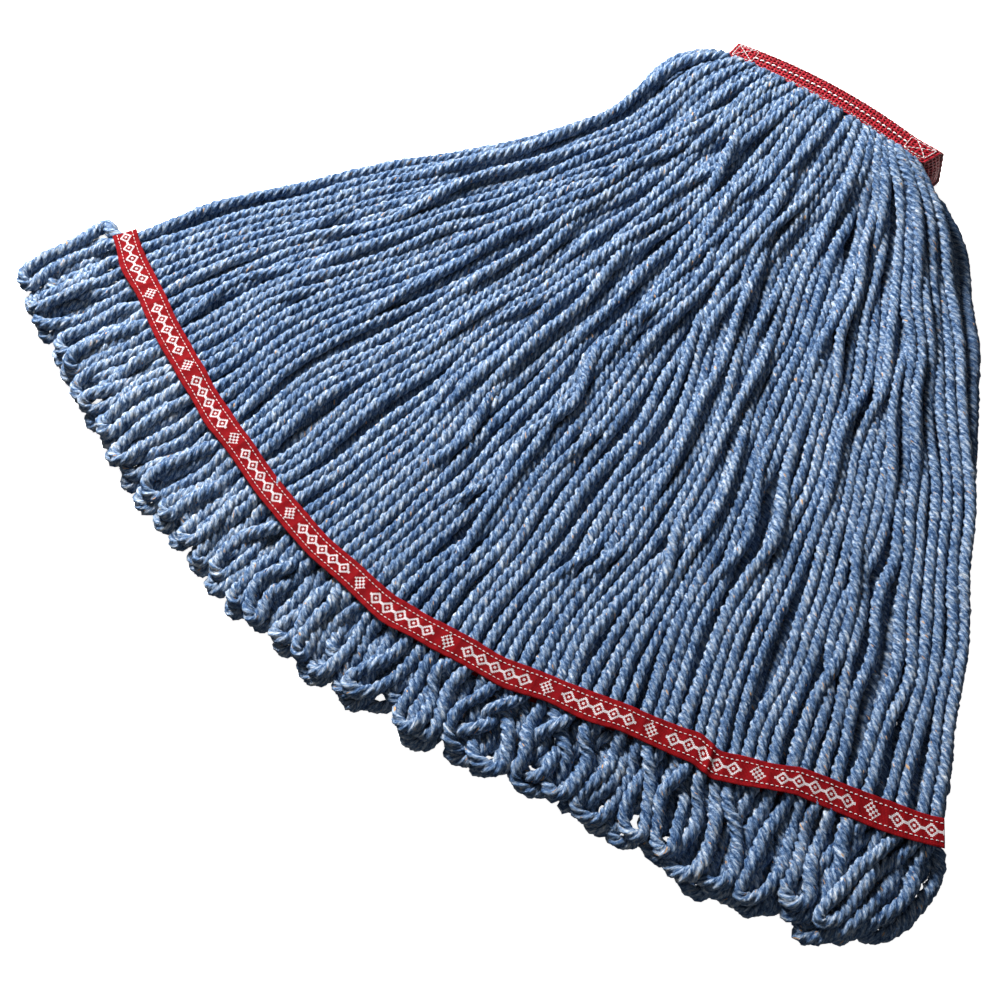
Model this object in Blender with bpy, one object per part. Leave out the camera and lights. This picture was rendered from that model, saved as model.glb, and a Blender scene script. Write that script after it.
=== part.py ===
"""Looped-end string mop head, folded at its headband and laid flat with the yarn fanned out.

Metres, +Z up. The headband runs along X and the yarn fans out towards -Y. A bottom curtain of
yarn lies on the floor and a top curtain lies on it. Shapes are drawn with the headband's folded
crest at y = 0, and an empty carries them all so that the world origin is under the middle of the
mop's footprint.
"""

import math

import bmesh
import bpy
from mathutils import Matrix, Vector

MM = 0.001

# Middle of the headband's crest, from the middle of the footprint.
CREST_X = -4.1 * MM
CREST_Y = 260.5 * MM

# Headband: a mesh tape wrapped over the fold of the yarn.
HEAD_LENGTH = 150 * MM
HEAD_HEIGHT = 30.0 * MM
HEAD_DEPTH = 17.0 * MM
TAPE_THICK = 1.6 * MM
CREST_RADIUS = 3.8 * MM
CREASE_Z = 15.0 * MM
CREASE_GAP = 0.3 * MM

# Stitching thread on the tapes.
THREAD_RADIUS = 0.3 * MM
THREAD_LIFT = 0.5 * MM
THREAD_SINK = 0.35 * MM
GROOVE_DEPTH = 0.95 * MM
GROOVE_SIDE = 0.75 * MM
FRONT_ROW_Y = -10.8 * MM
CREST_ROW_Y = -5.8 * MM
ROW_HALF = 57 * MM
TACK_START = 59.5 * MM
TACK_END = 73.0 * MM

# Fan of yarn: the tail band is an arc about a centre behind the headband.
FAN_RADIUS = 571 * MM
FAN_CENTRE_Y = 118 * MM
FAN_HALF_ANGLE = math.radians(31.7)
HANKS = 5
STRANDS_PER_HANK = 16
HANK_GAP = 0.5 * MM
RIDGE_DEPTH = 1.4 * MM
BEND_Y = -210 * MM
BEND_GAP = 0.6 * MM

# Sideways bulge of the outermost strands, right side and left side.
BULGE_RIGHT = 35 * MM
BULGE_LEFT = 24 * MM
WAIST_LEFT = 17 * MM
FLANK_LEFT = 13 * MM

# Tail band: a woven tape over and under each curtain.
BAND_WIDTH = 16 * MM
BAND_THICK = 0.8 * MM
BAND_ROW = 5.6 * MM
BAND_STEPS = 20

# Fringe of loops past the tail band.
LOCKS = 8
LOOPS_PER_LOCK = 5
LOCK_START = 9.2 * MM
LOCK_GAP = 2.0 * MM
LOCK_THICK = 7.2 * MM
REACH_LEFT = 56 * MM
REACH_RIGHT = 76 * MM

# Heights of each surface of the two curtains at fractions of the way from headband to tail.
STATIONS = (0.0, 0.10, 0.25, 0.50, 0.80, 1.0)
HEIGHTS = {
    "bottom_under": (2.0, 1.4, 1.2, 1.2, 1.4, 2.1),
    "bottom_over": (14.7, 14.5, 12.2, 9.7, 8.6, 8.3),
    "top_under": (15.3, 15.1, 12.6, 10.2, 10.3, 10.9),
    "top_over": (28.0, 29.0, 24.8, 19.6, 17.6, 17.1),
}
BAND_BASE = {
    "bottom_lower": 0.9 * MM,
    "bottom_upper": 8.6 * MM,
    "top_lower": 9.7 * MM,
    "top_upper": 17.4 * MM,
}
LOCK_BASE = {"bottom": 0.0, "top": 9.6 * MM}

RED = (0.55, 0.02, 0.03, 1)
BLUE = (0.12, 0.22, 0.42, 1)
WHITE = (0.85, 0.84, 0.82, 1)


def clear_scene():
    for obj in list(bpy.data.objects):
        bpy.data.objects.remove(obj, do_unlink=True)


def material(name, colour, roughness):
    made = bpy.data.materials.new(name)
    made.use_nodes = True
    shader = made.node_tree.nodes["Principled BSDF"]
    shader.inputs["Base Color"].default_value = colour
    shader.inputs["Roughness"].default_value = roughness
    shader.inputs["Metallic"].default_value = 0.0
    made.diffuse_color = colour
    return made


def add_part(name, data, colour, roughness):
    obj = bpy.data.objects.new(name, data)
    data.materials.append(material(name, colour, roughness))
    PARTS.objects.link(obj)
    obj.parent = CREST
    return obj


def mesh_part(name, bm, colour, roughness):
    bmesh.ops.recalc_face_normals(bm, faces=bm.faces)
    data = bpy.data.meshes.new(name)
    bm.to_mesh(data)
    bm.free()
    return add_part(name, data, colour, roughness)


def thread(name, points):
    """A run of sewing thread along a polyline."""
    curve = bpy.data.curves.new(name, "CURVE")
    curve.dimensions = "3D"
    spline = curve.splines.new("POLY")
    spline.points.add(len(points) - 1)
    for target, point in zip(spline.points, points):
        target.co = (*point, 1)
    curve.bevel_depth = THREAD_RADIUS
    curve.bevel_resolution = 1
    curve.use_fill_caps = True
    return add_part(name, curve, WHITE, 0.7)


def extruded(outline, direction):
    """A solid from a flat outline pushed along a direction."""
    bm = bmesh.new()
    face = bm.faces.new([bm.verts.new(point) for point in outline])
    grown = bmesh.ops.extrude_face_region(bm, geom=[face])
    moved = [item for item in grown["geom"] if isinstance(item, bmesh.types.BMVert)]
    bmesh.ops.translate(bm, vec=direction, verts=moved)
    return bm


def box_cutter(name, low, high):
    """A hidden box to cut from a part, between two corners."""
    low, high = Vector(low), Vector(high)
    size = high - low
    bm = bmesh.new()
    place = Matrix.Translation((low + high) / 2) @ Matrix.Diagonal((*size, 1))
    bmesh.ops.create_cube(bm, size=1.0, matrix=place)
    data = bpy.data.meshes.new(name)
    bm.to_mesh(data)
    bm.free()
    obj = bpy.data.objects.new(name, data)
    obj.parent = CREST
    obj.hide_render = True
    obj.display_type = "WIRE"
    CUTTERS.objects.link(obj)
    return obj


def cut(target, cutter):
    bite = target.modifiers.new(cutter.name, "BOOLEAN")
    bite.operation = "DIFFERENCE"
    bite.solver = "EXACT"
    bite.object = cutter


# The headband.


def leaf_outline(x):
    """Half of the tape's U section, above the crease, as a closed outline."""
    rise = HEAD_HEIGHT - CREASE_Z
    outer = [(-CREASE_GAP, CREASE_GAP)]
    inner = [(-CREASE_GAP - TAPE_THICK, CREASE_GAP)]
    for step in range(5):
        turn = math.radians(90 * step / 4)
        centre = (-CREASE_GAP - CREST_RADIUS, rise - CREST_RADIUS)
        for side, radius in ((outer, CREST_RADIUS), (inner, CREST_RADIUS - TAPE_THICK)):
            y = centre[0] + radius * math.cos(turn)
            z = centre[1] + radius * math.sin(turn)
            side.append((y, z))
    outer.append((-HEAD_DEPTH, rise))
    inner.append((-HEAD_DEPTH, rise - TAPE_THICK))
    return [Vector((x, y, z)) for y, z in outer + inner[::-1]]


def headband():
    for side, sign in (("top", 1), ("bottom", -1)):
        outline = leaf_outline(-HEAD_LENGTH / 2)
        for point in outline:
            point.z = CREASE_Z + sign * point.z
        bm = extruded(outline, Vector((HEAD_LENGTH, 0, 0)))
        leaf = mesh_part(f"headband_tape_{side}", bm, RED, 0.45)
        rise = HEAD_HEIGHT - CREASE_Z
        face = CREASE_Z + sign * (rise - THREAD_SINK)
        deep = CREASE_Z + sign * (rise - GROOVE_DEPTH)
        over = CREASE_Z + sign * (rise + GROOVE_DEPTH)
        low, high = min(deep, over), max(deep, over)
        for row, y in (("front", FRONT_ROW_Y), ("crest", CREST_ROW_Y)):
            thread(
                f"headband_stitch_{row}_{side}",
                [(-ROW_HALF, y, face), (ROW_HALF, y, face)],
            )
            reach = ROW_HALF + GROOVE_SIDE
            groove = box_cutter(
                f"cut_{row}_{side}",
                (-reach, y - GROOVE_SIDE, low),
                (reach, y + GROOVE_SIDE, high),
            )
            cut(leaf, groove)
        for hand, way in (("left", -1), ("right", 1)):
            near, far = way * TACK_START, way * TACK_END
            ends = sorted((near - way * GROOVE_SIDE, far + way * GROOVE_SIDE))
            pocket = box_cutter(
                f"cut_{hand}_{side}",
                (ends[0], FRONT_ROW_Y - 1.4 * MM, low),
                (ends[1], CREST_ROW_Y + GROOVE_SIDE, high),
            )
            cut(leaf, pocket)
            zigzag = [
                (near, FRONT_ROW_Y - 0.6 * MM, face),
                (far, FRONT_ROW_Y - 0.6 * MM, face),
                (near, CREST_ROW_Y, face),
                (far, CREST_ROW_Y, face),
            ]
            thread(f"headband_bartack_{hand}_{side}", zigzag)


# The yarn.


def blend_table(values, s):
    """Straight-line reading of a table of heights in millimetres."""
    s = min(max(s, 0.0), 1.0)
    for low in range(len(STATIONS) - 1):
        a, b = STATIONS[low], STATIONS[low + 1]
        if s <= b:
            share = (s - a) / (b - a)
            return (values[low] + (values[low + 1] - values[low]) * share) * MM
    return values[-1] * MM


def bulge(q, s):
    """How far a strand stands out sideways from the straight line to its place in the fan."""
    if q > 0:
        return BULGE_RIGHT * q * q * max(0.0, math.sin(math.pi * s**0.5)) ** 0.8
    shoulder = BULGE_LEFT * math.exp(-(((s - 0.055) / 0.075) ** 2)) * min(1.0, s / 0.05)
    waist = WAIST_LEFT * math.exp(-(((s - 0.34) / 0.13) ** 2))
    flank = FLANK_LEFT * math.exp(-(((s - 0.80) / 0.13) ** 2))
    return q * q * (waist - shoulder - flank)


def tail_point(q):
    angle = q * FAN_HALF_ANGLE
    radius = FAN_RADIUS
    return radius * math.sin(angle), FAN_CENTRE_Y - radius * math.cos(angle)


def fan_point(q, s):
    """Plan position of strand q, from -1 to 1, at fraction s from headband to tail band."""
    x, y = tail_point(q)
    start = HEAD_LENGTH / 2 * 0.985 * q
    return start + (x - start) * s + bulge(q, s), -HEAD_DEPTH + (y + HEAD_DEPTH) * s


def fraction_at(q, y):
    return (y + HEAD_DEPTH) / (tail_point(q)[1] + HEAD_DEPTH)


def hank_section(side, q0, q1, place):
    """Closed loop of points across a hank: ridged on its outer face, plain on the inner one."""
    ridged, plain = [], []
    count = 2 * STRANDS_PER_HANK
    for step in range(count + 1):
        q = q0 + (q1 - q0) * step / count
        x, y, s = place(q)
        inset = HANK_GAP / 2 * (1 if step == 0 else -1 if step == count else 0)
        valley = RIDGE_DEPTH * (1 - step % 2)
        if side == "top":
            outer = blend_table(HEIGHTS["top_over"], s) - valley
            inner = blend_table(HEIGHTS["top_under"], s)
        else:
            outer = blend_table(HEIGHTS["bottom_under"], s) + valley
            inner = blend_table(HEIGHTS["bottom_over"], s)
        ridged.append((x + inset, y, outer))
        if step % 2 == 0:
            plain.append((x + inset, y, inner))
    return ridged, plain


def hank(name, side, q0, q1, places):
    """Loft through the sections of a hank, closed at both ends."""
    bm = bmesh.new()
    rings = []
    for place in places:
        ridged, plain = hank_section(side, q0, q1, place)
        rings.append(
            (
                [bm.verts.new(p) for p in ridged],
                [bm.verts.new(p) for p in plain],
            )
        )
    for (ridge_a, plain_a), (ridge_b, plain_b) in zip(rings, rings[1:]):
        loop_a = ridge_a + plain_a[::-1]
        loop_b = ridge_b + plain_b[::-1]
        for k in range(len(loop_a)):
            after = (k + 1) % len(loop_a)
            bm.faces.new((loop_a[k], loop_a[after], loop_b[after], loop_b[k]))
    for ridge, plain in (rings[0], rings[-1]):
        for k in range(STRANDS_PER_HANK):
            corners = ridge[2 * k : 2 * k + 3] + [plain[k + 1], plain[k]]
            bm.faces.new(corners)
    mesh_part(name, bm, BLUE, 0.9)


def at_line(y):
    """Section on a straight line across the fan."""

    def place(q):
        s = fraction_at(q, y)
        if s < 0:
            return HEAD_LENGTH / 2 * 0.985 * q, y, 0.0
        x, _ = fan_point(q, s)
        return x, y, s

    return place


def between_bend_and_tail(share):
    """Section between the bend line, at share 0, and the tail end of the yarn, at share 1."""

    def place(q):
        start = fraction_at(q, BEND_Y - BEND_GAP)
        s = start + (1.016 - start) * share
        x, y = fan_point(q, s)
        if share == 0:
            y = BEND_Y - BEND_GAP
        return x, y, s

    return place


def curtains():
    near_lines = [-4.6 * MM, -HEAD_DEPTH, -34 * MM, -75 * MM, -130 * MM, BEND_Y + BEND_GAP]
    near = [at_line(y) for y in near_lines]
    far = [between_bend_and_tail(share) for share in (0.0, 0.5, 1.0)]
    for side in ("bottom", "top"):
        for index in range(HANKS):
            q0 = -1 + 2 * index / HANKS
            q1 = q0 + 2 / HANKS
            hank(f"yarn_{side}_near_{index + 1}", side, q0, q1, near)
            hank(f"yarn_{side}_far_{index + 1}", side, q0, q1, far)


# The tail band.


def fan_arc(radius, z, steps, half_angle):
    points = []
    for step in range(steps + 1):
        angle = half_angle * (2 * step / steps - 1)
        x = radius * math.sin(angle)
        y = FAN_CENTRE_Y - radius * math.cos(angle)
        points.append((x, y, z))
    return points


def band_tape(name, base):
    """A flat ribbon swept along the fan's arc."""
    half = FAN_HALF_ANGLE * 1.008
    low = FAN_RADIUS - BAND_WIDTH / 2
    high = FAN_RADIUS + BAND_WIDTH / 2
    section = [(low, base), (high, base), (high, base + BAND_THICK), (low, base + BAND_THICK)]
    turn = Matrix.Rotation(-half, 4, "Z")
    bm = bmesh.new()
    ring = [bm.verts.new(turn @ Vector((0, -radius, z))) for radius, z in section]
    face = bm.faces.new(ring)
    bmesh.ops.spin(
        bm,
        geom=[face, *face.edges, *face.verts],
        cent=(0, 0, 0),
        axis=(0, 0, 1),
        angle=2 * half,
        steps=BAND_STEPS,
        use_duplicate=False,
    )
    bmesh.ops.translate(bm, vec=(0, FAN_CENTRE_Y, 0), verts=bm.verts)
    mesh_part(name, bm, RED, 0.6)


def tail_bands():
    for side in ("bottom", "top"):
        for layer in ("lower", "upper"):
            band_tape(f"tail_band_{side}_{layer}", BAND_BASE[f"{side}_{layer}"])
        if side == "top":
            z = BAND_BASE["top_upper"] + BAND_THICK + THREAD_LIFT
        else:
            z = BAND_BASE["bottom_lower"] - THREAD_LIFT
        for row, offset in (("inner", -BAND_ROW), ("outer", BAND_ROW)):
            points = fan_arc(FAN_RADIUS + offset, z, BAND_STEPS - 4, FAN_HALF_ANGLE)
            thread(f"tail_stitch_{side}_{row}", points)


# The fringe.


def lock_outline(reach):
    """Plan outline of a lock of loops, pointing along -Y from the tail band, round-ended."""
    half = (FAN_RADIUS + LOCK_START) * math.tan(FAN_HALF_ANGLE / LOCKS) - LOCK_GAP / 2
    pitch = 2 * half / LOOPS_PER_LOCK
    round_depth = 5.5 * MM
    points = [(-half, -LOCK_START), (-half, -reach + round_depth)]
    for loop in range(LOOPS_PER_LOCK):
        centre = -half + pitch * (loop + 0.5)
        for step in range(1, 5):
            turn = math.pi * (1 - step / 5)
            x = centre + pitch / 2 * math.cos(turn)
            points.append((x, -reach + round_depth * (1 - math.sin(turn))))
        points.append((centre + pitch / 2, -reach + round_depth))
    points.append((half, -LOCK_START))
    return points


def fringe():
    for side in ("bottom", "top"):
        for index in range(LOCKS):
            q = (2 * index + 1) / LOCKS - 1
            reach = REACH_LEFT + (REACH_RIGHT - REACH_LEFT) * (q + 1) / 2
            if side == "top":
                reach -= 3 * MM
            outline = [Vector((x, y, 0)) for x, y in lock_outline(reach)]
            bm = extruded(outline, Vector((0, 0, LOCK_THICK)))
            name = f"loops_{side}_{index + 1}"
            obj = mesh_part(name, bm, BLUE, 0.9)
            angle = q * FAN_HALF_ANGLE
            x, y = tail_point(q)
            obj.location = (x, y, LOCK_BASE[side])
            obj.rotation_euler = (0, 0, angle)


clear_scene()
CUTTERS = bpy.data.collections.new("cutters")
CUTTERS.hide_render = True
bpy.context.scene.collection.children.link(CUTTERS)
PARTS = bpy.data.collections.new("string_mop")
bpy.context.scene.collection.children.link(PARTS)
CREST = bpy.data.objects.new("crest", None)
CREST.location = (CREST_X, CREST_Y, 0)
PARTS.objects.link(CREST)
headband()
curtains()
tail_bands()
fringe()
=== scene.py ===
"""Looks for a looped-end string mop head folded at its headband and laid flat.

Every run of yarn, every fringe loop, the open-mesh headband, its stitching and the woven tail
bands are built as meshes on the CAD bodies. Lengths are in metres. Shapes are drawn with the
middle of the headband's crest as origin, and world() carries them to their place in the CAD frame.
"""

import math

import bmesh
import bpy
import numpy as np
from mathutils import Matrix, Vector

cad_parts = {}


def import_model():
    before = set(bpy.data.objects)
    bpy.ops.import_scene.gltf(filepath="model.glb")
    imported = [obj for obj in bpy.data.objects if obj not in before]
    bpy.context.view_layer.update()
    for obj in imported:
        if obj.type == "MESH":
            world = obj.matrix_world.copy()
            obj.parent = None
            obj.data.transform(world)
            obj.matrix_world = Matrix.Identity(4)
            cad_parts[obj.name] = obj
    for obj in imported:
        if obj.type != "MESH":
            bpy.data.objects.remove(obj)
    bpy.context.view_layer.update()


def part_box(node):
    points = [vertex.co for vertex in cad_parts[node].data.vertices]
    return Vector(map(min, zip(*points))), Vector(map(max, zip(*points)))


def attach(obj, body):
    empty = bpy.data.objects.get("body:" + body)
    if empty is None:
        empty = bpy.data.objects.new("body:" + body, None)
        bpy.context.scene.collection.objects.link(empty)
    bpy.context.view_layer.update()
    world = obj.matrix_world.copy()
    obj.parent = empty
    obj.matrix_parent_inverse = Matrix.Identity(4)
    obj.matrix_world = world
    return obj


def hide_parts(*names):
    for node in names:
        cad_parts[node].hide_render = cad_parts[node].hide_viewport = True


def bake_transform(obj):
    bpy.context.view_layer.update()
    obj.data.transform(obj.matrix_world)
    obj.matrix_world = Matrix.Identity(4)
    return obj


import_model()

MM = 0.001
SIDES = ("bottom", "top")

# The headband, from its CAD tape.
TAPE_LOW, TAPE_HIGH = [np.array(corner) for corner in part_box("headband_tape_top")]
CREST = np.array([(TAPE_LOW[0] + TAPE_HIGH[0]) / 2, TAPE_HIGH[1], 0.0])
HEAD_HALF = (TAPE_HIGH[0] - TAPE_LOW[0]) / 2
HEAD_HEIGHT = TAPE_HIGH[2]
HEAD_DEPTH = TAPE_HIGH[1] - TAPE_LOW[1]
CREST_RADIUS = 3.8 * MM

# The fan and its tail band, as the CAD draws them.
FAN_RADIUS = 571 * MM
FAN_CENTRE_Y = 118 * MM
FAN_HALF_ANGLE = math.radians(31.7)
BAND_HALF = 8 * MM
BAND_THICK = 0.8 * MM
BAND_BASE = {
    ("bottom", "lower"): 0.9 * MM,
    ("bottom", "upper"): 8.6 * MM,
    ("top", "lower"): 9.7 * MM,
    ("top", "upper"): 17.4 * MM,
}
TAIL_Z = {"bottom": 5.2 * MM, "top": 13.9 * MM}

# The tail band doesn't lie as a true arc: how far it stands outside the arc, along the fan.
BAND_LIE = (
    *((-1.01, -8), (-0.60, -7), (-0.30, -1), (0.00, 5), (0.24, 1)),
    *((0.45, -5), (0.585, -3), (0.625, 4), (0.76, 0), (1.01, 15)),
)

# Yarn.
RUNS = 80
HANKS = 5
LOOPS = 40
LOCKS = 8
PER_LOCK = LOOPS // LOCKS
YARN = 6.7 * MM
PLIES = 4
LAY = 23 * MM

# How far the outermost runs stand sideways from a straight line, on their way out.
RIGHT_LIE = ((0, 3), (0.03, 12), (0.09, 28), (0.25, 34), (0.50, 33), (0.70, 23), (0.90, 9), (1, 0))
LEFT_LIE = (
    *((0, 6), (0.04, 17), (0.09, 17), (0.15, 4), (0.22, -9)),
    *((0.32, -15), (0.42, -12), (0.56, 0), (0.85, 12), (1, 0)),
)

# How far the loops reach past the tail band, along the fan.
REACH = (
    *((-1.0, 72), (-0.8, 66), (-0.45, 63), (0.0, 53), (0.38, 50)),
    *((0.55, 60), (0.74, 68), (0.9, 63), (1.0, 56)),
)


def world(points):
    """Points drawn about the middle of the crest, in the CAD frame."""
    return np.asarray(points, float) + CREST


def smooth(low, high, x):
    """0 up to low, 1 from high on, and a smooth step between. low may be the larger."""
    t = np.clip((np.asarray(x, float) - low) / (high - low), 0, 1)
    return t * t * (3 - 2 * t)


def along_fan(table, q):
    """A value in millimetres from a short table of (place along the fan, value)."""
    places, values = zip(*table)
    return np.interp(q, places, values) * MM


def eased(table, s):
    """The same with its corners rounded."""
    shifts = (-0.024, -0.012, 0, 0.012, 0.024)
    return sum(along_fan(table, np.clip(s + d, 0, 1)) for d in shifts) / len(shifts)


def band_radius(q):
    """How far the middle of the tail band is from the centre of the fan. q is -1 to 1 across it."""
    return FAN_RADIUS + along_fan(BAND_LIE, q)


def on_fan(q, radius):
    angle = np.asarray(q, float) * FAN_HALF_ANGLE
    return radius * np.sin(angle), FAN_CENTRE_Y - radius * np.cos(angle)


# -------- camera, floor and light


def aimed(name, data, place, target):
    obj = bpy.data.objects.new(name, data)
    obj.location = world(place)
    way = Vector(world(target)) - obj.location
    obj.rotation_euler = way.to_track_quat("-Z", "Y").to_euler()
    bpy.context.scene.collection.objects.link(obj)
    return obj


def bowed(points, keep=1.0):
    """Headband shapes drawn straight, bent as the real one lies.

    Its middle stands back and up, and its right end spreads.
    """
    points = np.array(points, float)
    bow = 1 - np.clip(points[..., 0] / HEAD_HALF, -1, 1) ** 2
    near_crest = np.clip(1 + points[..., 1] / HEAD_DEPTH, 0, 1)
    end = smooth(0.80, 1.0, points[..., 0] / HEAD_HALF)
    low = 1 - np.clip(points[..., 2] / HEAD_HEIGHT, 0, 1)
    points[..., 0] += keep * (6.0 * near_crest + 4.0 * low) * end * MM
    points[..., 1] += keep * (5.0 * bow + 2.0 * end) * MM
    points[..., 2] += keep * 3.5 * MM * bow * np.clip(points[..., 2] / HEAD_HEIGHT, 0, 1)
    return points


def place_camera():
    data = bpy.data.cameras.new("camera")
    data.lens = 58.9
    data.sensor_width = 36
    place, target = (0.277, -0.7156, 0.8476), (0.001, -0.3593, 0.0)
    bpy.context.scene.camera = aimed("camera", data, place, target)


def place_light(name, place, target, size, power):
    data = bpy.data.lights.new(name, "AREA")
    data.shape = "DISK"
    data.size = size
    data.energy = power
    aimed(name, data, place, target)


FLOOR_HALF = 6.0
BACKDROP_HEIGHT = 7.0


def place_floor():
    """A white floor that gives its own light, and a dim even sky."""
    mesh = bpy.data.meshes.new("floor")
    bm = bmesh.new()
    bmesh.ops.create_grid(bm, x_segments=40, y_segments=40, size=FLOOR_HALF)
    # Far away the floor curves up into a backdrop on every side.
    for vertex in bm.verts:
        vertex.co.z = BACKDROP_HEIGHT * float(smooth(3.5, FLOOR_HALF, vertex.co.xy.length))
    for face in bm.faces:
        face.smooth = True
    bm.to_mesh(mesh)
    bm.free()
    floor = bpy.data.objects.new("floor", mesh)
    bpy.context.scene.collection.objects.link(floor)
    made = bpy.data.materials.new("floor")
    made.use_nodes = True
    shader = made.node_tree.nodes["Principled BSDF"]
    facts = {"Base Color": (0.93, 0.93, 0.93, 1), "Roughness": 0.9}
    facts |= {"Emission Color": (1, 1, 1, 1), "Emission Strength": 0.93}
    for key, value in facts.items():
        shader.inputs[key].default_value = value
    mesh.materials.append(made)
    # Little light comes back from the floor, so that the gaps between the runs stay dark.
    floor.visible_diffuse = False
    sky = bpy.context.scene.world or bpy.data.worlds.new("world")
    bpy.context.scene.world = sky
    sky.use_nodes = True
    back = sky.node_tree.nodes["Background"]
    back.inputs["Color"].default_value = (0.96, 0.98, 1.0, 1)
    back.inputs["Strength"].default_value = 0.12


place_camera()
place_floor()
place_light("key", (-1.02, 0.08, 0.86), (0.0, -0.25, 0), 0.40, 64)
place_light("front", (0.9, -1.4, 1.6), (0, -0.25, 0), 1.2, 1.5)
bpy.context.scene.view_settings.view_transform = "Standard"

# -------- the lie of the long runs

STEPS = 70
S = np.linspace(0, 1, STEPS)  # places along a run
Y_IN = -8 * MM  # where the runs start, inside the headband
PLACE = -1 + (2 * np.arange(RUNS) + 1) / RUNS  # the runs' places across the fan


def bulge(q, s):
    """How far a run stands sideways from its straight line."""
    right = q * q * eased(RIGHT_LIE, s)
    left = np.abs(q) ** 3 * eased(LEFT_LIE, s)
    return np.where(q > 0, right, -left)


def flat_at(s):
    """How flat the yarn is pressed: hard under the headband's stitching, round past it."""
    round_at = 0.52 + 0.36 * smooth(0.008, 0.05, s) + 0.12 * smooth(0.10, 0.30, s)
    return round_at - 0.10 * smooth(0.95, 1, s)


def girth_at(s):
    """How thick the yarn is: drawn tight at the headband, full further out."""
    return 0.80 + 0.20 * smooth(0.02, 0.26, s)


def ceiling_at(side, s):
    """The most height of a curtain's yarn, as the CAD's hanks have it."""
    tops = {
        "bottom": (14.7, 15.0, 14.5, 12.2, 9.9, 8.8, 8.6),
        "top": (28.6, 33.0, 32.0, 26.5, 21.5, 18.2, 17.4),
    }
    return np.interp(s, (0.0, 0.045, 0.10, 0.25, 0.50, 0.80, 1.0), tops[side]) * MM


def tangents(points):
    way = np.gradient(points, axis=-2)
    return way / np.linalg.norm(way, axis=-1, keepdims=True)


ROUNDS = 170
NEIGHBOURS = 14


def straighten(points, moved, share):
    """Takes a share of each kink out of how far the points have moved."""
    points[:, 1:-1] += share * ((moved[:, :-2] + moved[:, 2:]) / 2 - moved[:, 1:-1])


def settle(points, base, wave, floor, ceiling):
    """Runs of yarn sink, stay smooth along their length and push each other aside."""
    flat = flat_at(S)[None, :]
    half = YARN / 2 * flat * girth_at(S)
    scale = np.ones((1, STEPS, 3))
    scale[..., 2] = 1 / flat
    held = np.zeros(STEPS, bool)
    held[[0, 1, -1]] = True
    # Near the headband the yarn of the top curtain springs up instead of sinking.
    sink = 0.24 * MM * np.where(ceiling > 15.5 * MM, 1.5 * smooth(0.04, 0.20, S) - 0.5, 1.0)
    for turn in range(ROUNDS):
        points[:, :, 2] -= sink * (1 - 0.5 * turn / ROUNDS)
        straighten(points, points - base - wave, 0.45)
        points[:, :, :2] += 0.03 * (base + wave - points)[:, :, :2]
        way = tangents(points)
        for _ in range(2):
            push = np.zeros_like(points)
            hits = np.ones(points.shape[:2])
            for m in range(1, NEIGHBOURS + 1):
                apart = points[m:] - points[:-m]
                apart = apart - (apart * way[m:]).sum(2, keepdims=True) * way[m:]
                apart *= scale
                distance = np.linalg.norm(apart, axis=2)
                short = np.clip(YARN * 0.95 * girth_at(S) - distance, 0, None)
                apart *= (short * 0.5 / np.maximum(distance, 1e-6))[..., None] / scale
                push[m:] += apart
                push[:-m] -= apart
                hits[m:] += short > 0
                hits[:-m] += short > 0
            points += push / np.maximum(hits * 0.55, 1)[..., None]
            lowered = np.minimum(points[:, :, 2], ceiling - half)
            points[:, :, 2] = np.maximum(lowered, floor + half)
        points[:, held] = base[:, held]
    for _ in range(6):
        straighten(points, points - base - wave, 0.5)
        points[:, held] = base[:, held]
    return points


# The half-waves along a run and their sizes in millimetres.
WAVES = ((1, 4.2), (2, 3.4), (3, 2.2), (4, 1.5), (6, 1.2), (9, 0.8), (13, 0.5))


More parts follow.
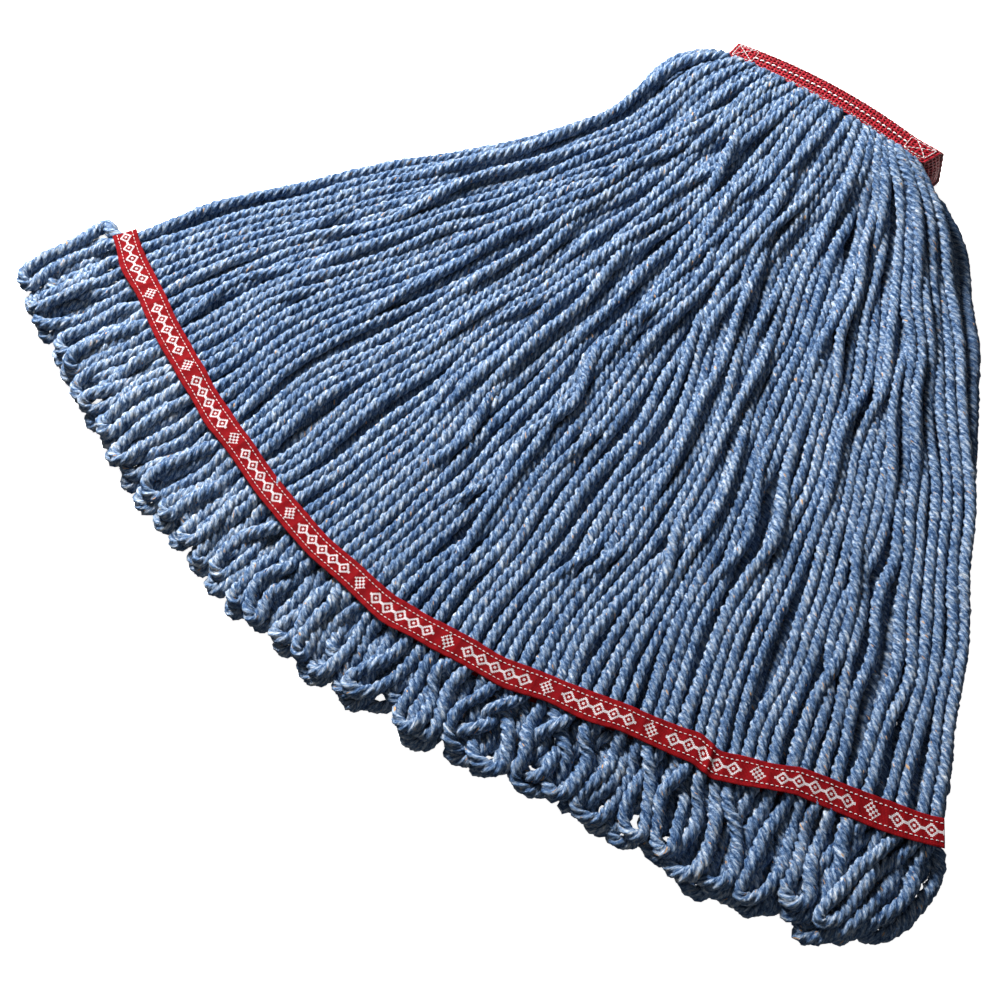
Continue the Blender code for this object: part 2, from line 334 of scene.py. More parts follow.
def lay_runs(side, seed, floor):
    """Centrelines of one curtain's runs, from inside the headband to under the tail band."""
    rng = np.random.default_rng(seed)
    if side == "top":
        # At the tail band the runs lie in uneven bunches.
        gaps = 0.82 + 0.54 * rng.random(RUNS) ** 2
        place = 2 * (np.cumsum(gaps) - gaps / 2) / gaps.sum() - 1
        place = PLACE + np.clip(place - PLACE, -0.02, 0.02)
    else:
        place = PLACE + (1 - PLACE**8) / RUNS
    end_x, end_y = on_fan(place, band_radius(place))
    start_x = HEAD_HALF * 0.91 * PLACE
    y = Y_IN + (end_y - Y_IN)[:, None] * S
    out = np.clip((-HEAD_DEPTH - y) / (-HEAD_DEPTH - end_y)[:, None], 0, 1)
    free = np.clip((Y_IN - y) / (5 * MM), 0, 1)
    stand = bulge(PLACE[:, None], out) * free
    if side == "top":
        # On the right the top curtain leaves the headband a little inside the bottom one.
        stand -= 9 * MM * smooth(0.4, 1.0, PLACE)[:, None] * (1 - smooth(0.0, 0.20, out))
    else:
        # On both sides the bottom curtain stands out past the top one, most on the right.
        past = smooth(3 * MM - HEAD_DEPTH, -5 * MM - HEAD_DEPTH, y)
        stand -= 4 * MM * smooth(0.6, 1.0, -PLACE)[:, None] * (1 - smooth(0.15, 0.35, out)) * past
        stand += 9 * MM * smooth(0.4, 1.0, PLACE)[:, None] * (1 - smooth(0.10, 0.50, out)) * past
    x = start_x[:, None] + (end_x - start_x)[:, None] * out + stand
    # At the headband the runs are four deep, in no strict order.
    layer = np.concatenate([rng.permutation(4) for _ in range(RUNS // 4)])
    low, high = (2.0 * MM, 14.4 * MM) if side == "bottom" else (15.6 * MM, 28.0 * MM)
    levels = (0.38, 0.56, 0.74, 0.86) if side == "top" else (0.14, 0.28, 0.6, 0.86)
    start_z = low + (high - low) * np.array(levels)[layer]
    fall = smooth(0.05, 0.8, S)
    z = start_z[:, None] * (1 - fall) + TAIL_Z[side] * fall
    base = np.stack([x, y, z], axis=2)
    spread = (rng.random(RUNS) - 0.5) * 4 * MM
    base[:, :, 0] += spread[:, None] * (1 - smooth(0.0, 0.5, S))
    wave = np.zeros_like(base)
    swell = smooth(0, 0.2, S) * (1 - S**14)
    # The outermost runs keep to their neighbours.
    swell = swell[None, :] * (1 - 0.75 * np.abs(PLACE) ** 12)[:, None]
    # Neighbours lean together, so that the runs lie in bunches with gaps between.
    near = np.exp(-((PLACE[:, None] - PLACE[None, :]) ** 2) * (RUNS / 4.5) ** 2)
    near /= np.sqrt((near**2).sum(1, keepdims=True))
    for count, size in WAVES:
        size *= 1.0 if side == "top" else 0.22
        # The short waves are strongest on the right.
        here = np.where(count > 4, 0.7 + 0.6 * smooth(-0.4, 0.5, PLACE), 1.0)[:, None]
        for axis, share in ((0, 1.0), (2, 0.5)):
            phase = rng.random((RUNS, 1)) * 2 * math.pi
            amount = rng.normal(size=(RUNS, 1)) * here * size * share * MM
            wave[:, :, axis] += amount * np.sin(math.pi * count * S + phase) * swell
            shared = near @ (rng.normal(size=(RUNS, 1)) * size * share * MM)
            shift = rng.random() * 2 * math.pi
            wave[:, :, axis] += 0.9 * shared * np.sin(math.pi * count * S + shift) * swell
    base = bowed(base, (1 - smooth(0.02, 0.20, S))[None, :])
    points = base + wave
    points[:, [0, 1, -1]] = base[:, [0, 1, -1]]
    return settle(points, base, wave, floor, ceiling_at(side, S)), layer


def smoothed_tops(points, radius):
    """The surface that one curtain offers to the next, with the gaps between its runs bridged."""
    tops = points[:, :, 2] + radius * (flat_at(S) * girth_at(S))[None, :]
    weights = np.exp(-(np.arange(-6, 7) ** 2) / 18)
    weights /= weights.sum()
    wide = np.pad(tops, ((6, 6), (0, 0)), mode="edge")
    return sum(w * wide[i : i + RUNS] for i, w in enumerate(weights))


runs, layers = {}, {}
# Just past the headband the yarn is springy and stands as high as the tape.
puff = (1 - smooth(0.06, 0.22, S))[None, :] * smooth(0.0, 0.03, S)[None, :]
under = np.full((RUNS, STEPS), 1.2 * MM) + 2.6 * MM * puff
runs["bottom"], layers["bottom"] = lay_runs("bottom", 3, under)
rest = smoothed_tops(runs["bottom"], YARN / 2) + 0.6 * MM
rest = np.maximum(rest, 20.5 * MM * puff)
rest = np.maximum(rest, 9.6 * MM * smooth(0.7, 1.0, S)[None, :])
runs["top"], layers["top"] = lay_runs("top", 7, rest)

# -------- the lie of the fringe loops

LINKS = 46


def loop_outline(reach, start, belly, crossed):
    """One loop in its own plane: (out from the band, sideways), from one leg round to the other."""
    round_tip = abs(belly)
    leg_out = np.array([0, 0.12, 0.34, 0.58, 0.8]) * (reach - round_tip)
    side = np.array([start, start, 0.6 * start + 0.4 * belly, 0.9 * belly, belly])
    if crossed:
        side[2:] = np.array([0.0, -0.85 * belly, -belly])
    turn = np.linspace(math.pi / 2, 0, 5)
    tip_out = reach - round_tip * (1 - np.cos(turn))
    tip_side = side[-1] * np.sin(turn)
    leg = np.stack([np.append(leg_out, tip_out), np.append(side, tip_side)], axis=1)
    back = leg[::-1][1:] * (1, -1)
    return np.vstack([leg, back])


def distances_along(points):
    """How far each point of a polyline is from its start."""
    return np.concatenate([[0], np.cumsum(np.linalg.norm(np.diff(points, axis=0), axis=1))])


def evenly_straight(points, count):
    """That many points at equal steps along a polyline."""
    at = distances_along(points)
    wanted = np.linspace(0, at[-1], count)
    return np.stack([np.interp(wanted, at, points[:, k]) for k in range(points.shape[1])], axis=1)


def evenly(points, count):
    """The same along a smooth curve through the given points."""
    p = np.vstack([2 * points[0] - points[1], points, 2 * points[-1] - points[-2]])
    t = np.linspace(0, 1, 9)[:-1, None]
    fine = []
    for a, b, c, d in zip(p[:-3], p[1:-2], p[2:-1], p[3:]):
        bend = (2 * a - 5 * b + 4 * c - d) * t**2 + (3 * b - a - 3 * c + d) * t**3
        fine.append(0.5 * (2 * b + (c - a) * t + bend))
    return evenly_straight(np.vstack(fine + [points[-1:]]), count)


def first_loops(side, seed, first_run=0):
    """The loops as they would stand before they sink and push each other aside."""
    rng = np.random.default_rng(seed)
    total = LOOPS - (first_run > 0)
    chains = np.zeros((total, LINKS, 3))
    outs = np.zeros((total, LINKS))
    for j in range(total):
        k = 2 * j + first_run
        ends = runs[side][k : k + 2, -1]
        q = PLACE[k : k + 2].mean()
        angle = q * FAN_HALF_ANGLE
        out = np.array([math.sin(angle), -math.cos(angle), 0])
        across = np.array([math.cos(angle), math.sin(angle), 0])
        loose = smooth(-0.25, 0.40, q)
        half_gap = np.linalg.norm(ends[1] - ends[0]) / 2
        reach = along_fan(REACH, q) - 6 * MM * rng.random()
        if first_run:
            reach *= 0.74 + 0.2 * rng.random()
        belly = (5.3 + rng.random() * 1.2 + loose * 4.4 * rng.random()) * MM
        crossed = rng.random() < 0.05 + 0.30 * loose
        flat = evenly(loop_outline(reach, -half_gap, -belly, crossed), LINKS)
        tip = np.clip(flat[:, 0] / reach, 0, 1)
        lean = rng.normal() * (2.6 + 3.2 * loose) * MM
        curl = rng.normal() * (2.4 + 0.8 * loose) * MM
        sideways = flat[:, 1] + lean * tip**1.6 + curl * np.sin(math.pi * tip)
        step = np.arange(LINKS) / (LINKS - 1)
        for count in (2, 3, 5, 7):
            size = rng.normal(size=2) * (2.0 + 0.2 * loose) / count**0.5 * MM
            sway = np.sin(2 * math.pi * (count / 2 * step + rng.random()))
            sway *= np.sin(math.pi * step) ** 0.6
            sideways += size[0] * sway
            flat[:, 0] += 0.5 * size[1] * np.abs(sway) * tip
        # The end loops spread outwards on the left and lean inwards on the right.
        sideways -= smooth(0.80, 1.0, -q) * MM * (12 * np.sin(math.pi * tip**0.6) + 4 * tip)
        sideways -= (14 * smooth(0.55, 1.0, q) + 20 * smooth(0.78, 1.0, q)) * MM * tip**1.2
        turn = rng.normal() * 0.3 + (0.45 * loose if side == "bottom" else 0.15 * loose)
        height = np.sin(turn) * flat[:, 1] * smooth(0.12, 0.5, tip)
        height += rng.normal() * (0.8 + 1.5 * loose) * MM * tip
        if crossed:
            leg = np.where(np.arange(LINKS) < LINKS / 2, 1, -1) * (1 if rng.random() < 0.5 else -1)
            height += leg * 3.4 * MM * np.exp(-(((tip - 0.33) / 0.14) ** 2))
        middle = ends.mean(0)
        chains[j] = middle + flat[:, :1] * out + sideways[:, None] * across
        most = 9 * MM * smooth(7 * MM, 26 * MM, flat[:, 0])
        chains[j, :, 2] = middle[2] + np.minimum(height, most)
        chains[j, 0], chains[j, -1] = ends
        outs[j] = flat[:, 0]
    return chains, outs


def push_apart(a, b, near):
    """Pushes for two stacks of chains, each chain of one against the same one of the other.

    near is 0 where two points don't count, because they are neighbours on one chain.
    """
    apart = b[:, None, :, :] - a[:, :, None, :]
    distance = np.linalg.norm(apart, axis=3)
    short = np.clip(YARN * 0.92 - distance, 0, None) * near
    apart *= (0.5 * short / np.maximum(distance, 1e-6))[..., None]
    return -apart.sum(2), apart.sum(1), (short > 0).sum(2), (short > 0).sum(1)


def settle_loops(kinds):
    """All the loops sink onto the floor and each other.

    What is smoothed is each loop's departure from its first shape, so that a loop stays a loop.
    """
    first = np.concatenate([chains for chains, _ in kinds])
    free = smooth(7 * MM, 24 * MM, np.concatenate([outs for _, outs in kinds]))[..., None]
    starts = np.cumsum([0] + [len(chains) for chains, _ in kinds])
    # The top curtain's loops come to rest on the others.
    sink = np.where(np.arange(len(first)) < starts[2], 0.22, 0.15)[:, None] * MM
    moved = np.zeros_like(first)
    count = np.arange(LINKS)
    near = (np.abs(count[:, None] - count[None, :]) > 4).astype(float)
    low = YARN / 2 + 0.1 * MM
    for _ in range(60):
        moved[:, :, 2] -= sink
        chains = first + moved * free
        push = np.zeros_like(chains)
        hits = np.ones(chains.shape[:2])
        for rows, columns, itself in pairs(starts):
            a, b = chains[rows], chains[columns]
            push_a, push_b, hits_a, hits_b = push_apart(a, b, near if itself else 1)
            push[rows] += push_a
            hits[rows] += hits_a
            if not itself:
                push[columns] += push_b
                hits[columns] += hits_b
        moved += 1.2 * push / np.maximum(hits * 0.6, 1)[..., None]
        for _ in range(2):
            straighten(moved, moved, 0.5)
        chains = first + moved * free
        moved[:, :, 2] += np.clip(low - chains[:, :, 2], 0, None)
    chains = first + moved * free
    chains[:, :, 2] = np.maximum(chains[:, :, 2], low)
    return np.split(chains, starts[1:-1])


def pairs(starts):
    """Which loops can touch: each one itself, and those near it in its own kind and the others."""
    everyone = np.arange(starts[-1])
    yield everyone, everyone, True
    for a in range(len(starts) - 1):
        for b in range(a, len(starts) - 1):
            size_a, size_b = starts[a + 1] - starts[a], starts[b + 1] - starts[b]
            for m in range(1 if a == b else -4, 5):
                rows = np.arange(max(0, -m), min(size_a, size_b - m))
                yield starts[a] + rows, starts[b] + rows + m, False


# "under" is a shorter set of loops among those of the bottom curtain.
stood = [
    first_loops("bottom", 21),
    first_loops("bottom", 22, first_run=1),
    first_loops("top", 24),
]
loops = dict(zip(("bottom", "under", "top"), settle_loops(stood)))

# -------- yarn as mesh


def frames_along(line):
    """A side and an up direction at each point of a line, carried along without twisting."""
    way = tangents(line)
    up = np.zeros_like(line)
    current = np.array([0.0, 0.0, 1.0])
    if abs(way[0][2]) > 0.9:
        current = np.array([1.0, 0.0, 0.0])
    for i, t in enumerate(way):
        current = current - t * (current @ t)
        current /= np.linalg.norm(current)
        up[i] = current
    return np.cross(way, up), up


def grid(x, y, z):
    """The points of a grid. Each coordinate is a whole grid, or a row or column of it."""
    return np.stack(np.broadcast_arrays(x, y, z), axis=2)


class Bundle:
    """Gathers yarns into one mesh, with the coordinates that the yarn material reads."""

    def __init__(self, outward=0, pale=0.0):
        self.points, self.quads, self.caps = [], [], []
        self.lie, self.tone, self.crown, self.underside_shade = [], [], [], []
        self.outward, self.pale = outward, pale
        self.total = 0

    def yarn(self, line, sides, flat, rng, radius=YARN / 2, girth=1.0, relief=0.28):
        """One plied yarn. The mesh columns follow the plies round."""
        count = len(line)
        side, up = frames_along(line)
        at = distances_along(line)
        column = 2 * math.pi * np.arange(sides) / sides
        # The twist tightens and slackens a little along the yarn.
        drift = np.cumsum(rng.normal(size=count)) * 0.02
        turn = 2 * math.pi * at / LAY + drift + rng.random() * 6.28
        angle = column[None, :] + turn[:, None]
        crown = 0.5 + 0.5 * np.cos(PLIES * column)
        # Each ply swells and thins by itself, and the whole yarn does too.
        steps, marks = np.arange(count), np.arange(0, count + 3, 3)
        swells = [np.interp(steps, marks, rng.normal(size=len(marks))) for _ in range(PLIES)]
        which = np.round(column * PLIES / (2 * math.pi)).astype(int) % PLIES
        ply = np.stack(swells, axis=1)[:, which]
        knots = 4 + int(at[-1] / (22 * MM))
        swell = np.interp(at, np.linspace(0, at[-1], knots), rng.normal(size=knots))
        wide = radius * girth * (1 + 0.065 * swell)
        r = wide[:, None] * (1.04 - relief + relief * crown[None, :] ** 0.7) * (1 + 0.06 * ply)
        r += rng.normal(size=r.shape) * 0.055 * radius
        beside, above = r * np.cos(angle), r * np.sin(angle) * flat[:, None]
        out = beside[..., None] * side[:, None] + above[..., None] * up[:, None]
        ring = line[:, None] + out
        # It lies flat where it rests on the floor.
        ring[..., 2] = np.maximum(ring[..., 2], 0.15 * MM)
        index = self.total + np.arange(count * sides).reshape(count, sides)
        after = np.roll(index, -1, axis=1)
        quads = np.stack([index[:-1], after[:-1], after[1:], index[1:]], axis=-1)
        self.quads.append(quads.reshape(-1, 4))
        self.total += count * sides
        shift = rng.random((1, 3)) * 0.4
        lie = grid(at[:, None], radius * np.cos(column), radius * np.sin(column)) + shift
        self.points += [ring.reshape(-1, 3), line[:1], line[-1:]]
        self.lie += [lie.reshape(-1, 3), shift, shift]
        self.tone += [(rng.random() + 0.5 * ply + self.pale).ravel(), [0.5, 0.5]]
        self.crown += [np.tile(crown, count), [0.5, 0.5]]
        # 1 where the yarn faces the middle of the folded head: painted shade on the side that no
        # light reaches.
        facing = out[..., 2] / np.linalg.norm(out, axis=2) * self.outward
        inside = 1 - smooth(-0.85, 0.15, facing) if self.outward else np.zeros_like(facing)
        self.underside_shade += [inside.ravel(), [0, 0]]
        for row in (index[0][::-1], index[-1]):
            middle = np.full(sides, self.total)
            self.caps.append(np.stack([row, np.roll(row, -1), middle], axis=1))
            self.total += 1

    def build(self, name):
        points = np.vstack(self.points)
        mesh = mesh_from(name, points, np.vstack(self.quads), np.vstack(self.caps))
        write_values(mesh, "lie", np.vstack(self.lie))
        for label in ("tone", "crown", "underside_shade"):
            write_values(mesh, label, np.concatenate(getattr(self, label)))
        return shown(name, mesh, YARN_PAINT)


def write_values(mesh, label, values, domain="POINT"):
    """A named attribute that a material reads: one number, or three, for each point or face."""
    kind, key = ("FLOAT_VECTOR", "vector") if values.ndim > 1 else ("FLOAT", "value")
    layer = mesh.attributes.new(label, kind, domain)
    layer.data.foreach_set(key, values.astype(np.float32).ravel())


def mesh_from(name, points, quads, triangles=np.zeros((0, 3), int)):
    """A smooth-shaded mesh, carried to its place in the CAD frame."""
    points = world(points).reshape(-1, 3)
    mesh = bpy.data.meshes.new(name)
    mesh.vertices.add(len(points))
    mesh.vertices.foreach_set("co", points.astype(np.float32).ravel())
    corners = np.concatenate([quads.ravel(), triangles.ravel()])
    mesh.loops.add(len(corners))
    mesh.loops.foreach_set("vertex_index", corners.astype(np.int32))
    starts = np.concatenate([np.arange(len(quads)) * 4, quads.size + np.arange(len(triangles)) * 3])
    mesh.polygons.add(len(starts))
    mesh.polygons.foreach_set("loop_start", starts.astype(np.int32))
    mesh.polygons.foreach_set("use_smooth", np.ones(len(starts), bool))
    mesh.update(calc_edges=True)
    mesh.validate()
    return mesh


def shown(name, mesh, material):
    mesh.materials.append(material)
    obj = bpy.data.objects.new(name, mesh)
    bpy.context.scene.collection.objects.link(obj)
    return obj


# -------- materials


class Paint:
    """A material with short calls for its nodes."""

    def __init__(self, name, roughness, specular=0.5):
        self.made = bpy.data.materials.new(name)
        self.made.use_nodes = True
        self.tree = self.made.node_tree
        self.shader = self.tree.nodes["Principled BSDF"]
        self.shader.inputs["Roughness"].default_value = roughness
        self.shader.inputs["Specular IOR Level"].default_value = specular

    def put(self, socket, value):
        if isinstance(value, bpy.types.NodeSocket):
            self.tree.links.new(value, socket)
        else:
            socket.default_value = value

    def node(self, kind, inputs=(), **settings):
        made = self.tree.nodes.new(kind)
        for key, value in settings.items():
            setattr(made, key, value)
        for key, value in dict(inputs).items():
            self.put(made.inputs[key], value)
        return made

    def read(self, name, output="Fac"):
        return self.node("ShaderNodeAttribute", attribute_name=name).outputs[output]

    def scaled(self, vector, scale):
        return self.node("ShaderNodeMapping", {"Vector": vector, "Scale": scale}).outputs[0]

    def noise(self, vector, scale, detail, roughness):
        facts = {"Vector": self.scaled(vector, scale), "Scale": 1.0}
        facts |= {"Detail": detail, "Roughness": roughness}
        return self.node("ShaderNodeTexNoise", facts).outputs["Fac"]

    def wave(self, vector, scale, distortion, bands="X"):
        facts = {"Vector": vector, "Scale": scale, "Distortion": distortion}
        return self.node("ShaderNodeTexWave", facts, bands_direction=bands).outputs["Fac"]

    def math(self, operation, a, b):
        return self.node("ShaderNodeMath", {0: a, 1: b}, operation=operation).outputs[0]

    def ranged(self, value, low, high, to_low=0.0, to_high=1.0):
        facts = {"Value": value, "From Min": low, "From Max": high}
        facts |= {"To Min": to_low, "To Max": to_high}
        return self.node("ShaderNodeMapRange", facts, interpolation_type="SMOOTHSTEP").outputs[0]

    def mix(self, factor, a, b):
        return self.node("ShaderNodeMix", {0: factor, 6: a, 7: b}, data_type="RGBA").outputs[2]

    def ramp(self, factor, stops):
        made = self.node("ShaderNodeValToRGB", {"Fac": factor})
        line = made.color_ramp.elements
        while len(line) < len(stops):
            line.new(0.5)
        for element, (place, colour) in zip(line, stops):
            element.position = place
            element.color = (*colour, 1)
        return made.outputs["Color"]

    def bump(self, height, distance, strength):
        facts = {"Height": height, "Distance": distance, "Strength": strength}
        return self.node("ShaderNodeBump", facts).outputs[0]

    def finish(self, colour, normal=None):
        self.put(self.shader.inputs["Base Color"], colour)
        if normal is not None:
            self.put(self.shader.inputs["Normal"], normal)
        return self.made


def yarn_material():
    """Heather yarn: blue fibre with pale and dark streaks along the plies and a few flecks, with
    painted shade in the ply grooves and on the undersides.
    """
    paint = Paint("yarn", 0.95, 0.06)
    lie = paint.read("lie", "Vector")
    tone = paint.read("tone")
    crown = paint.read("crown")
    underside_shade = paint.read("underside_shade")
    fibre = paint.noise(lie, (470, 620, 620), 4.0, 0.72)
    patch = paint.noise(lie, (150, 230, 230), 1.0, 0.5)
    level = paint.math("MULTIPLY", fibre, 0.8)
    level = paint.math("ADD", level, paint.math("MULTIPLY", patch, 0.2))
    level = paint.math("ADD", level, paint.math("MULTIPLY", tone, 0.030))
    streaks = (
        (0.37, (0.012, 0.036, 0.100)),
        (0.455, (0.062, 0.122, 0.245)),
        (0.52, (0.155, 0.240, 0.385)),
        (0.585, (0.320, 0.405, 0.530)),
        (0.69, (0.700, 0.730, 0.750)),
    )
    colour = paint.ramp(level, streaks)
    # Painted shade in the grooves between the plies.
    colour = paint.mix(paint.ranged(crown, 0.0, 0.6, 0.5, 0.0), colour, (0.012, 0.030, 0.080, 1))
    # Painted shade: near-black blue on the undersides of the yarn.
    colour = paint.mix(paint.math("MULTIPLY", underside_shade, 0.28), colour, (0.006, 0.014, 0.040, 1))
    fleck = paint.ranged(paint.noise(lie, (300, 640, 640), 0.0, 0.5), 0.80, 0.82)
    colour = paint.mix(fleck, colour, (0.52, 0.32, 0.17, 1))
    return paint.finish(colour, paint.bump(fibre, 0.0022, 0.9))


def coated_mesh_material():
    """Red PVC coating: a soft shine, with duller and deeper red in random patches."""
    paint = Paint("red_mesh", 0.38, 0.25)
    place = paint.node("ShaderNodeTexCoord").outputs["Object"]
    mottle = paint.noise(place, (260, 260, 260), 3.0, 0.6)
    fine = paint.noise(place, (2200, 2200, 2200), 1.0, 0.5)
    colour = paint.ramp(mottle, ((0.3, (0.19, 0.003, 0.009)), (0.7, (0.37, 0.007, 0.018))))
    return paint.finish(colour, paint.bump(fine, 0.0002, 0.5))


def thread_material():
    """White sewing thread, with painted shade, a little grey, between the turns of its twist."""
    paint = Paint("white_thread", 0.7)
    lie = paint.read("lie", "Vector")
    twist = paint.wave(lie, 700.0, 1.5)
    colour = paint.ramp(twist, ((0.0, (0.52, 0.50, 0.50)), (0.6, (0.86, 0.86, 0.85))))
    return paint.finish(colour, paint.bump(twist, 0.0001, 0.6))


def ribbon_material():
    """Woven ribbon: red ground with white figures, fine ribs across and a dull selvedge."""
    paint = Paint("ribbon", 0.72, 0.05)
    lie = paint.read("lie", "Vector")
    figure = paint.read("figure")
    weave = paint.math("MULTIPLY", paint.wave(lie, 440.0, 0.6), paint.wave(lie, 420.0, 0.5, "Y"))
    shade = paint.noise(lie, (160, 300, 300), 3.0, 0.6)
    red = paint.ramp(weave, ((0.0, (0.11, 0.001, 0.003)), (0.8, (0.37, 0.002, 0.005))))
    # Painted shade: darker red patches, as the shadows of the ribbon's folds.
    red = paint.mix(paint.ranged(shade, 0.35, 0.7, 0.45, 0.0), red, (0.10, 0.001, 0.003, 1))
    white = paint.ramp(weave, ((0.0, (0.34, 0.27, 0.28)), (0.7, (0.74, 0.74, 0.75))))
    colour = paint.mix(figure, red, white)
    return paint.finish(colour, paint.bump(weave, 0.00022, 0.8))


def painted_shade_sheet_material():
    """Painted shade: a sheet inside the tape, nearly black with a little dark red."""
    paint = Paint("painted_shade_sheet", 0.8)
    place = paint.node("ShaderNodeTexCoord").outputs["Object"]
    mottle = paint.noise(place, (500, 500, 500), 2.0, 0.5)
    colour = paint.ramp(mottle, ((0.3, (0.020, 0.001, 0.003)), (0.7, (0.050, 0.003, 0.006))))
    return paint.finish(colour)


YARN_PAINT = yarn_material()
# The sheet of painted shade inside the tape.
PAINTED_SHADE_SHEET_PAINT = painted_shade_sheet_material()
MESH_PAINT = coated_mesh_material()
THREAD_PAINT = thread_material()
RIBBON_PAINT = ribbon_material()

# -------- the curtains


def with_steps(line, spacing):
    """The same line with its points about this far apart."""
    return evenly(line, max(6, int(round(distances_along(line)[-1] / spacing)) + 1))


def over_bend(piece):
    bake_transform(piece)


def over_edge(line, side):
    """The yarn springs up and out as soon as it leaves the tape, and so hides the tape's edge."""
    if side == "top":
        ahead = bowed([0, 0, 0])[1] * (1 - (line[:, 0] / HEAD_HALF) ** 2) - HEAD_DEPTH - line[:, 1]
        rise = smooth(-2.5 * MM, 4 * MM, ahead) * (1 - smooth(18 * MM, 70 * MM, ahead))
        height = 3.6 * MM + 1.4 * MM * smooth(0.3, -0.7, line[0, 0] / HEAD_HALF)
        line = line + np.outer(rise, (0, 0, height))
    return line


def build_curtain(side):
    """Every second run of the top curtain is a cord of its own. The rest are in five hanks."""
    rng = np.random.default_rng({"bottom": 31, "top": 32}[side])
    top = side == "top"
    spacing, sides = (1.8 * MM, 20) if top else (2.5 * MM, 15)
    outward = 1 if top else -1
    for group in range(HANKS):
        bundle = Bundle(outward)
        nodes = [f"yarn_{side}_near_{group + 1}", f"yarn_{side}_far_{group + 1}"]
        for k in range(RUNS * group // HANKS, RUNS * (group + 1) // HANKS):
            line = over_edge(with_steps(runs[side][k], spacing), side)
            flat = flat_at(np.linspace(0, 1, len(line)))
            puffed = 1 - smooth(0.08, 0.3, np.linspace(0, 1, len(line)))
            girth = 1 + 0.06 * puffed if top else 1.1 - 0.2 * puffed
            radius = YARN / 2 * ((1.04 if top else 1.32) + 0.06 * rng.normal())
            if top and k % 2 == 0:
                single = Bundle(outward)
                single.yarn(line, sides, flat, rng, radius, girth)
                piece = single.build(f"yarn_top_run_{k // 2 + 1:02d}")
                over_bend(piece)
                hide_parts(*nodes)
            else:
                bundle.yarn(line, sides, flat, rng, radius, girth, 0.28 if top else 0.10)
        piece = bundle.build(f"yarn_{side}_hank_{group + 1}")
        over_bend(piece)
        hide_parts(*nodes)


def build_fringe(side):
    """The loops past the tail band, in locks that swing together."""
    rng = np.random.default_rng({"bottom": 41, "top": 42}[side])
    spacing, sides = (1.7 * MM, 20) if side == "top" else (1.9 * MM, 15)
    for lock in range(LOCKS):
        q = (2 * lock + 1) / LOCKS - 1
        # Painted light: the loops on the left are made paler, as where more light falls on them.
        bundle = Bundle(1, 0.9 * (1 - smooth(-0.6, 0.4, q)))
        lines = list(loops[side][PER_LOCK * lock : PER_LOCK * (lock + 1)])
        if side == "bottom":
            lines += list(loops["under"][PER_LOCK * lock : PER_LOCK * (lock + 1)])
        for line in lines:
            line = with_steps(line, spacing)
            legs = np.sin(math.pi * np.linspace(0, 1, len(line)))
            girth = 0.88 + 0.16 * smooth(0.06, 0.4, legs)
            radius = YARN / 2 * (1.12 + 0.05 * rng.normal())
            bundle.yarn(line, sides, np.ones(len(line)), rng, radius, girth)
        piece = bundle.build(f"fringe_{side}_{lock + 1}")
        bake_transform(piece)
        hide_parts(f"loops_{side}_{lock + 1}")


for side in SIDES:
    build_curtain(side)
    build_fringe(side)

# -------- the headband

WALL = 0.9 * MM


def head_section(inset):
    """Half-round section of the folded tape, from its top front edge over the crest to below."""
    r, top = CREST_RADIUS, HEAD_HEIGHT - inset
    upper = [(-HEAD_DEPTH, top), (-r, top)]
    for k in range(1, 6):
        a = math.pi / 2 * k / 6
        upper.append((-r + (r - inset) * math.sin(a), HEAD_HEIGHT - r + (r - inset) * math.cos(a)))
    upper.append((-inset, HEAD_HEIGHT - r))
    lower = [(y, HEAD_HEIGHT - z) for y, z in reversed(upper)]
    return np.array(upper + lower)


def facing_out(section):
    """The outward direction at each point of a section."""
    way = tangents(section)
    return np.stack([-way[:, 1], way[:, 0]], axis=1)


def tube(line, half_wide, half_thick, normal):
    """A flattened six-sided strand along a line: points and faces."""
    way = tangents(line)
    side = np.cross(way, normal)
    side /= np.linalg.norm(side, axis=1, keepdims=True)
    face = np.cross(side, way)
    angle = 2 * math.pi * np.arange(6) / 6
    ring = (
        line[:, None]
        + half_wide * np.cos(angle)[None, :, None] * side[:, None]
        + half_thick * np.sin(angle)[None, :, None] * face[:, None]
    )
    index = np.arange(len(line) * 6).reshape(-1, 6)
    after = np.roll(index, -1, axis=1)
    quads = np.stack([index[:-1], index[1:], after[1:], after[:-1]], axis=-1).reshape(-1, 4)
    first, last = index[0], index[-1]
    ends = [first[[0, 1, 2, 3]], first[[0, 3, 4, 5]], last[[3, 2, 1, 0]], last[[5, 4, 3, 0]]]
    return ring.reshape(-1, 3), np.vstack([quads, ends])


class Threads:
    """Gathers strands or stitches into one mesh."""

    def __init__(self):
        self.points, self.quads, self.total = [], [], 0

    def add(self, line, half_wide, half_thick, normal):
        points, quads = tube(line, half_wide, half_thick, normal)
        self.quads.append(quads + self.total)
        self.points.append(points)
        self.total += len(points)

    def build(self, name, material, slot, shape=None):
        points = np.vstack(self.points)
        points = points if shape is None else shape(points)
        mesh = mesh_from(name, points, np.vstack(self.quads))
        write_values(mesh, "lie", points)
        return shown(name, mesh, material)


def over_fold(piece):
    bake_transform(piece)


def weave(tape, points, normals, wavy, wide_down, wide_across):
    """Strands along every second row and column of a grid, over and under each other."""
    for half_wide in (wide_down, wide_across):
        for k, (line, normal) in enumerate(zip(points[::2], normals[::2])):
            lift = wavy * np.cos(math.pi * (np.arange(len(line)) / 2 + k))
            tape.add(line + normal * lift[:, None], half_wide, 0.36 * MM, normal)
        points, normals, wavy = points.swapaxes(0, 1), normals.swapaxes(0, 1), -wavy


